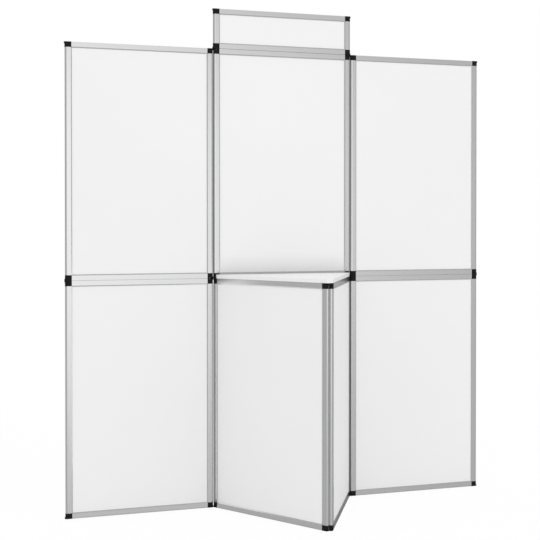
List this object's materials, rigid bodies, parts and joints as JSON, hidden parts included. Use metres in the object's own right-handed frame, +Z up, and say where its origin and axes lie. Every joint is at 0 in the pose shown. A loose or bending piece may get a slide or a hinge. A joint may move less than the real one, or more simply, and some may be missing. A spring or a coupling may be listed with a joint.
{
  "type": "folding display wall",
  "caption": "Folding display wall of framed white panels in an upper and a lower row, with a header panel and a V-shaped counter under a triangular top.",
  "frame": {"origin": "on the floor under the middle of the wall's plan", "axes": "+X along the wall to the right, +Y from the counter to the back of the wall, +Z up"},
  "size_m": [1.7868, 0.524, 2],
  "materials": {
    "aluminium_frame": "satin anodised",
    "white_board": "matt",
    "black_plastic": "fine grain",
    "steel_pin": "ground",
    "counter_laminate": "fine grain laminate",
    "edge_band": "smooth"
  },
  "bodies": {
    "base": {"counter_left_board": "white_board", "counter_left_corner_caps": "black_plastic", "counter_left_hinge_pins": "steel_pin", "counter_left_hook_plates": "black_plastic", "counter_left_rails": "aluminium_frame", "counter_left_stiles": "aluminium_frame"},
    "counter_right": {"counter_right_board": "white_board", "counter_right_corner_caps": "black_plastic", "counter_right_hinge_pins": "steel_pin", "counter_right_hook_plates": "black_plastic", "counter_right_rails": "aluminium_frame", "counter_right_stiles": "aluminium_frame"},
    "apex_plates": {"apex_hinge_plates": "black_plastic"},
    "left_lower": {"left_lower_board": "white_board", "left_lower_corner_caps": "black_plastic", "left_lower_hinge_pin": "steel_pin", "left_lower_rails": "aluminium_frame", "left_lower_stiles": "aluminium_frame", "left_row_pins": "steel_pin"},
    "right_lower": {"right_lower_board": "white_board", "right_lower_corner_caps": "black_plastic", "right_lower_hinge_pin": "steel_pin", "right_lower_rails": "aluminium_frame", "right_lower_stiles": "aluminium_frame", "right_row_pins": "steel_pin"},
    "left_upper": {"left_upper_board": "white_board", "left_upper_corner_caps": "black_plastic", "left_upper_hinge_pin": "steel_pin", "left_upper_rails": "aluminium_frame", "left_upper_stiles": "aluminium_frame"},
    "right_upper": {"right_upper_board": "white_board", "right_upper_corner_caps": "black_plastic", "right_upper_hinge_pin": "steel_pin", "right_upper_rails": "aluminium_frame", "right_upper_stiles": "aluminium_frame"},
    "center_upper": {"center_hinge_pins": "steel_pin", "center_hinge_plates": "black_plastic", "center_upper_board": "white_board", "center_upper_corner_caps": "black_plastic", "center_upper_rails": "aluminium_frame", "center_upper_stiles": "aluminium_frame", "header_pins": "steel_pin"},
    "header": {"header_board": "white_board", "header_corner_caps": "black_plastic", "header_rails": "aluminium_frame", "header_stiles": "aluminium_frame"},
    "tabletop": {"tabletop_board": "counter_laminate", "tabletop_edge_band": "edge_band", "tabletop_pegs": "black_plastic"}
  },
  "joints": [
    {"name": "left_wing_swing", "type": "hinge", "parent": "base", "child": "left_lower", "pos_m": [-0.3055, 0.25402, 0], "axis": [0, 0, 1], "range_deg": [-90, 60]},
    {"name": "right_wing_swing", "type": "hinge", "parent": "base", "child": "right_lower", "pos_m": [0.3055, 0.25402, 0], "axis": [0, 0, -1], "range_deg": [-90, 60]},
    {"name": "apex_plate_turn", "type": "hinge", "parent": "base", "child": "apex_plates", "pos_m": [-0.0085, -0.25376, 0], "axis": [0, 0, 1], "range_deg": [0, 28]},
    {"name": "counter_fold", "type": "hinge", "parent": "apex_plates", "child": "counter_right", "pos_m": [0.0085, -0.25376, 0], "axis": [0, 0, 1], "range_deg": [0, 28]},
    {"name": "upper_row_lift", "type": "slide", "parent": "base", "child": "center_upper", "axis": [0, 0, 1], "range_m": [0, 0.06]},
    {"name": "left_upper_lift", "type": "slide", "parent": "left_lower", "child": "left_upper", "axis": [0, 0, 1], "range_m": [0, 0.06]},
    {"name": "right_upper_lift", "type": "slide", "parent": "right_lower", "child": "right_upper", "axis": [0, 0, 1], "range_m": [0, 0.06]},
    {"name": "header_lift", "type": "slide", "parent": "center_upper", "child": "header", "axis": [0, 0, 1], "range_m": [0, 0.06]},
    {"name": "tabletop_lift", "type": "slide", "parent": "base", "child": "tabletop", "axis": [0, 0, 1], "range_m": [0, 0.06]}
  ],
  "couplings": [
    {"joint": "left_upper_lift", "follows": "upper_row_lift", "ratio": 1},
    {"joint": "right_upper_lift", "follows": "upper_row_lift", "ratio": 1}
  ]
}
